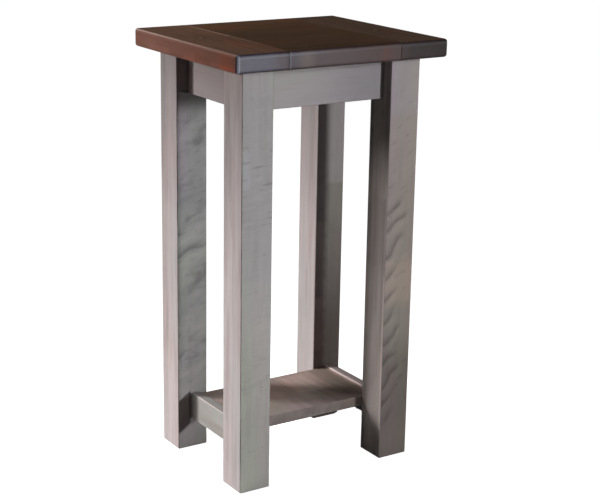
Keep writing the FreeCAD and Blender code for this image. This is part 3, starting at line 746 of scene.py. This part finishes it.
# A mark is its maker, its strength and the maker's settings. A shade is an axis, where its tint
# starts, where it is full, its share, the tint and the side. A blotch is its spans, the width of
# its soft edge, its share, the tint, the side and, where it leans, how far it rises to the right.
wear("leg_front_left", washed_wood(
    "leg_front_left_wood", "z", 1, BRIGHT, MID, side=(ROSE, ROSE_DARK), curl=0.16, slant=10,
    streak=0.35, smears=0.6,
    marks=((dashes, 0.45, dict(slant=4, low=0.50, high=0.64, length=0.045, height=0.008)),
           (dashes, 0.16, dict(slant=5, low=0.10, high=0.74, length=0.022, height=0.004)),
           (dashes, 0.30, dict(slant=-6, low=0.21, high=0.26, length=0.04, height=0.009,
                               cover=0.2)),
           (dashes, 0.35, dict(slant=3, low=0.05, high=0.10, length=0.04, height=0.009,
                               cover=0.3))),
    shades=(("z", 0.28, 0.56, 0.40, (0.5, 0.5, 0.53), FRONT),
            ("z", 0.45, 0.25, 0.8, (1.0, 1.0, 0.94), FRONT),
            # painted light on the upper left face
            ("z", 0.62, 0.78, 0.8, (1.2, 1.14, 1.12), LEFT)),
    blotches=(((("z", 0.575, 0.64), ("x", -0.187, -0.172)), 0.006, 0.7, (1.1, 1.13, 1.17), FRONT),),
    arris=((120, 98, 104), 0.75)))
wear("leg_back_left", washed_wood(
    "leg_back_left_wood", "z", 2, rgb(197, 195, 196), rgb(157, 156, 158), side=(PALE, GREY),
    curl=0.3, slant=30, streak=0.15, smears=0.5,
    marks=((feathers, 0.55, dict(slant=34, spacing=0.055, low=0.16, high=0.64, reach=0.035,
                                 cover=0.75, bent=1.9)),
           (dashes, 0.30, dict(slant=4, low=0.18, high=0.34, length=0.03, height=0.009)),
           (dashes, 0.28, dict(slant=16, low=0.36, high=0.66, length=0.022, height=0.007))),
    # painted shadow of the apron on the front face, lightened just below it and above it
    shades=(("z", 0.635, 0.66, 1.0, (1.35, 1.37, 1.37), FRONT),
            ("z", 0.655, 0.702, 1.0, (0.125, 0.108, 0.10), FRONT),
            ("z", 0.708, 0.718, 1.0, (1.9, 1.9, 1.9), FRONT),
            ("z", 0.14, 0.40, 0.32, (0.5, 0.5, 0.5), LEFT),
            ("z", 0.12, 0.02, 0.5, (0.62, 0.60, 0.56), FRONT),
            ("z", 0.36, 0.50, 1.0, (0.95, 0.93, 0.97), FRONT),
            ("z", 0.46, 0.38, 1.0, (0.98, 1.0, 0.97), FRONT)),
    blotches=(((("z", 0.38, 0.44), LEFT_LEGS), 0.02, 0.6, (0.88, 0.87, 0.92), FRONT, 0.6),
              ((("z", 0.50, 0.53), LEFT_LEGS), 0.02, 0.6, (1.08, 1.10, 1.08), FRONT, 0.5),
              ((("z", 0.56, 0.59), LEFT_LEGS), 0.02, 0.5, (0.88, 0.88, 0.92), FRONT, 0.4),
              ((("z", 0.27, 0.30), LEFT_LEGS), 0.02, 0.5, (0.90, 0.90, 0.94), FRONT, 0.6),
              # painted shadow that the left stretcher casts on the front face, and painted shade
              # beside its end
              ((("z", 0.165, 0.232), ("x", -0.195, -0.1615)), 0.004, 0.95, (0.20, 0.16, 0.15),
               FRONT, 0.7),
              ((("z", 0.06, 0.1135), ("x", -0.1650, -0.150)), 0.004, 0.9, (0.24, 0.19, 0.18),
               FRONT)),
    arris=((120, 98, 96), 0.7)))
wear("leg_front_right", washed_wood(
    "leg_front_right_wood", "z", 3, rgb(196, 188, 183), rgb(160, 151, 145),
    side=(rgb(207, 202, 198), rgb(124, 118, 113)), curl=0.08, slant=40, streak=0.3, rose=0.4,
    smears=0.3,
    marks=((flecks, 0.55, dict(start=RIGHT_LEG_START, width=LEG_WIDTH, rise=0.064, spacing=0.043,
                               low=0.09, high=0.51)),
           (dashes, 0.22, dict(slant=32, low=0.12, high=0.70, length=0.024, height=0.007))),
    shades=(("z", 0.50, 0.72, 0.6, (1.3, 1.33, 1.38), FRONT),
            # painted shadow of the apron and the top on the upper left face, then painted light
            # lower down
            ("z", 0.52, 0.62, 0.75, (0.4, 0.4, 0.4), LEFT),
            ("z", 0.36, 0.14, 1.0, (1.25, 1.25, 1.25), LEFT),
            ("z", 0.28, 0.17, 0.64, (0.52, 0.50, 0.50), FRONT),
            ("z", 0.10, 0.03, 0.6, (1.3, 1.28, 1.26), FRONT),
            ("x", 0.125, 0.19, 0.5, (1.05, 1.0, 0.92), FRONT),
            ("z", 0.56, 0.66, 1.0, (1.01, 0.97, 0.99), FRONT),
            # painted shadow at the foot of the left face
            ("z", 0.10, 0.05, 0.9, (0.62, 0.62, 0.62), LEFT)),
    blotches=(((("z", 0.315, 0.40), RIGHT_LEGS), 0.03, 0.9, (1.28, 1.20, 1.14), FRONT),
              # painted highlight along the front edge of the left face
              ((("y", -0.156, -0.1455), ("z", 0.06, 0.37)), 0.003, 0.8, (1.4, 1.36, 1.34), LEFT),
              ((("y", -0.1445, -0.1395), ("z", 0.22, 0.52)), 0.003, 0.6, (0.72, 0.70, 0.70), LEFT),
              ((("y", -0.098, -0.080), ("z", -0.01, 0.80)), 0.010, 0.7, (0.70, 0.71, 0.68), LEFT),
              ((("z", 0.38, 0.52),), 0.040, 1.0, (0.88, 0.87, 0.87), LEFT),
              ((("z", 0.68, 0.80),), 0.030, 1.0, (0.90, 0.92, 0.88), LEFT),
              ((("z", 0.68, 0.80),), 0.030, 1.0, (1.03, 1.05, 1.15), FRONT)),
    # the pale arris is a painted highlight
    tint=(0.95, 0.94, 0.94), arris=((170, 160, 160), 0.55)))
wear("leg_back_right", washed_wood(
    "leg_back_right_wood", "z", 4, PALE, GREY, curl=0.15, slant=12, streak=0.7,
    # painted light on the left part of the front face and painted shade on its right part, for the
    # shade of the front right leg
    blotches=(((("x", 0.12, 0.148), ("z", 0.10, 0.42)), 0.015, 0.8, (1.5, 1.45, 1.45), FRONT),
              ((("x", 0.12, 0.145), ("z", 0.15, 0.26)), 0.012, 0.9, (1.4, 1.34, 1.3), FRONT),
              ((("x", 0.149, 0.20), ("z", 0.08, 0.50)), 0.010, 1.0, (0.80, 0.80, 0.73), FRONT)),
    # painted shade: the front face is darkened, most low down, for the shade of the front right leg
    shades=(("z", 0.55, 0.20, 0.8, (0.47, 0.46, 0.43), FRONT),
            ("z", -1.0, -0.9, 1.0, (0.77, 0.72, 0.75), FRONT),
            ("z", 0.30, 0.18, 0.6, (0.6, 0.57, 0.53), FRONT))))
wear("apron_front", washed_wood(
    "apron_front_wood", "x", 11, rgb(212, 208, 208), rgb(190, 186, 186), curl=0.08, streak=0.2,
    smears=0.3, shades=(("x", -0.10, 0.12, 0.6, (0.5, 0.51, 0.56)),)))
wear("apron_back", washed_wood("apron_back_wood", "x", 12, PALE, GREY, curl=0.2, streak=0.7))
wear("apron_left", washed_wood(
    "apron_left_wood", "y", 21, rgb(200, 193, 192), rgb(168, 161, 160), curl=0.1, streak=0.3,
    smears=0.2, rose=0.5))
wear("apron_right", washed_wood("apron_right_wood", "y", 22, PALE, GREY, curl=0.2, streak=0.7))
wear("stretcher_left", washed_wood(
    "stretcher_left_wood", "y", 23, rgb(184, 184, 180), rgb(158, 157, 153), curl=0.1, streak=0.4,
    # the pale arris is a painted highlight
    rose=0.0, arris=((240, 228, 218), 0.9)))
wear("stretcher_right", washed_wood(
    "stretcher_right_wood", "y", 24, PALE, GREY, curl=0.15, streak=0.7, tint=(1.05, 0.98, 0.96),
    # the pale arris and the first blotch are a painted highlight along the inner top edge; the
    # second darkens the outer part of the top
    arris=((240, 226, 220), 0.95),
    blotches=(((("x", 0.150, 0.1575), ("y", -0.10, 0.10)), 0.003, 1.0, (1.5, 1.46, 1.43), UP),
              ((("x", 0.1605, 0.180), ("y", -0.10, 0.06)), 0.003, 0.9, (0.80, 0.76, 0.73), UP))))
wear("shelf_board", washed_wood(
    "shelf_wood", "y", 31, rgb(200, 190, 183), rgb(140, 130, 123), curl=0.2, slant=35,
    # the pale arris is a painted highlight
    streak=0.65, smears=0.35, tint=(1.025, 0.98, 0.955), arris=((178, 166, 158), 0.7),
    # painted light at the back of the upper face, painted shade towards the right and the front, a
    # bluish tint at the front, and painted light on the front strip
    shades=(("y", -0.02, 0.05, 1.0, (1.3, 1.26, 1.26), UP),
            ("x", 0.03, 0.12, 0.6, (0.6, 0.55, 0.5)),
            ("y", 0.0, -0.05, 0.3, (0.6, 0.55, 0.5), UP),
            ("y", -0.04, -0.07, 1.0, (1.0, 1.0, 1.07)),
            ("y", -0.045, -0.075, 0.6, (1.15, 1.15, 1.18), UP)),
    # painted shade along the lower front edge, a brown patch, then painted light, painted shade, a
    # painted light streak and a painted highlight beside the right stretcher
    blotches=(((("z", 0.080, 0.0905),), 0.001, 0.9, (0.5, 0.47, 0.46), FRONT),
              ((("x", -0.045, 0.045), ("y", -0.022, 0.055)), 0.02, 0.6, (1.0, 0.84, 0.75), UP),
              ((("x", 0.030, 0.105), ("y", -0.015, 0.075)), 0.015, 0.8, (1.36, 1.32, 1.30), UP),
              ((("x", 0.05, 0.17), ("y", -0.070, -0.022)), 0.015, 0.5, (0.80, 0.76, 0.72), UP),
              ((("x", 0.002, 0.010), ("y", -0.086, -0.032)), 0.004, 0.7, (1.28, 1.27, 1.28), UP),
              ((("x", 0.1475, 0.170), ("y", -0.10, 0.10)), 0.008, 1.0, (1.6, 1.6, 1.6), UP))))

WALNUT = rgb(128, 95, 69), rgb(97, 71, 49)
UMBER = rgb(166, 124, 100), rgb(126, 91, 72)
TAN = rgb(142, 111, 90), rgb(110, 86, 69)
REFLECTED_SLATE, MAUVE, RUST = rgb(105, 112, 135), rgb(115, 99, 105), rgb(118, 87, 84)
CHAR, PLUM = rgb(68, 62, 64), rgb(108, 90, 92)
SEAM_DARK, SEAM_HIGHLIGHT = rgb(48, 44, 50), rgb(168, 166, 184)

# A seam is its place on x, its width, colour and share, and where on y it starts and is full. A
# knot is its place on x and y and its size. A patch is its place on y, reach, colour and share.
# The pale line of each seam is a painted highlight on the joint's bevel.
LEFT_SEAM_WITH_HIGHLIGHT = (-0.118, 0.0028, rgb(244, 200, 176), 0.8, -0.17, 0.02)
RIGHT_SEAM_WITH_HIGHLIGHT = (0.118, 0.002, rgb(180, 136, 110), 0.5, -0.03, 0.13)
for index, node in enumerate(("plank_front", "plank_middle", "plank_back")):
    wear(node, stained_wood(
        node + "_wood", "x", index + 41, rgb(132, 98, 74), rgb(84, 62, 48), WALNUT,
        # the grey-blue colours at the left end of the front edge are a painted reflection, and the
        # pale one at the seam a painted highlight
        ends=((-0.118, SEAM_HIGHLIGHT), (-0.1135, rgb(98, 92, 106)), (-0.082, rgb(138, 124, 124)),
              (-0.055, MAUVE), (0.068, PLUM), (0.086, RUST), (0.105, PLUM)),
        seams=(LEFT_SEAM_WITH_HIGHLIGHT, RIGHT_SEAM_WITH_HIGHLIGHT),
        shades=(("y", -0.02, 0.16, 0.9, (1.4, 1.35, 1.35), UP),)))
wear("breadboard_left", stained_wood(
    "breadboard_left_wood", "y", 51, rgb(190, 130, 112), rgb(150, 102, 86), UMBER,
    # painted reflection: the slate colours on the front end of the left breadboard
    ends=((-0.3, REFLECTED_SLATE), (-0.16, REFLECTED_SLATE), (-0.126, rgb(92, 90, 104)), (-0.1185, SEAM_DARK)),
    seams=(LEFT_SEAM_WITH_HIGHLIGHT,), knot=(-0.179, 0.014, 0.0055),
    patches=((-0.150, 0.05, rgb(216, 112, 78), 0.6),
             (-0.08, 0.10, rgb(186, 126, 104), 0.6),
             (0.120, 0.060, rgb(200, 146, 130), 0.4)),
    blotches=(((("y", -0.178, -0.130), ("z", 0.778, 0.796)), 0.010, 0.7, (1.40, 1.06, 0.84), LEFT),
              ((("y", -0.100, -0.045), ("z", 0.788, 0.800)), 0.012, 0.6, (0.80, 0.72, 0.70), LEFT),
              ((("y", -0.005, 0.050), ("z", 0.780, 0.797)), 0.012, 0.6, (0.82, 0.75, 0.73), LEFT))))
wear("breadboard_right", stained_wood(
    "breadboard_right_wood", "y", 52, rgb(132, 100, 80), rgb(84, 64, 52), TAN,
    ends=((0.112, PLUM), (0.122, rgb(82, 71, 74)), (0.14, CHAR)),
    seams=(RIGHT_SEAM_WITH_HIGHLIGHT,), knot=(0.170, -0.034, 0.0055)))

# The cleats and the batten get dark colours: painted shade for the shade they stand in under the
# top and the shelf.
for index, node in enumerate(("cleat_left", "cleat_right", "shelf_batten")):
    wear(node, bare_wood(node + "_wood", "y", index + 61, rgb(92, 82, 76), rgb(62, 54, 50)))
wear("breadboard_pegs", bare_wood("peg_wood", "z", 66, rgb(206, 172, 124), rgb(160, 120, 80)))
for index, node in enumerate(("button_front_left", "button_front_right", "button_back_left",
                              "button_back_right")):
    wear(node, bare_wood(node + "_wood", "y", index + 71, rgb(208, 180, 142), rgb(172, 138, 100)))
STEEL = plated_steel("screw_steel")
add_screws("shelf_screws_detailed", "shelf_screws", STEEL)
add_screws("button_screws_detailed", "button_screws", STEEL)

WARM, COOL = (1.0, 0.97, 0.97), (0.985, 1.0, 1.0)
add_floor("floor_seen", reach=30, level=0.0, albedo=0.8, glow=1.0, seen=True)
add_floor("floor_bounce", reach=6, level=-0.0005, albedo=0.8, glow=0.0, seen=False)
add_camera()
set_world(0.012)
add_lamp("window_wide", turn=234, rise=20, reach=3.0, height=0.1, power=290, cone=32, radius=0.25,
         colour=WARM)
add_lamp("window_low", turn=246, rise=20, reach=3.0, height=0.1, power=72, cone=24, radius=0.25,
         colour=WARM)
add_lamp("front_low", turn=16, rise=5, reach=2.6, height=0.4, power=70, cone=40, radius=0.12,
         colour=COOL)
add_lamp("front_high", turn=16, rise=24, reach=2.6, height=0.7, power=38, cone=28, radius=0.12,
         colour=COOL)
add_panel("back_soft", (0.7, 1.9, 1.5), (0, 0, 0.6), power=4, size=1.2, glossy=False)
add_panel("above_soft", (-0.3, 0.2, 2.2), (0, 0, 0.8), power=4, size=1.0)
add_panel("left_fill", (-0.9, -0.8, 0.15), (0, 0, 0.15), power=0.35, size=0.5)
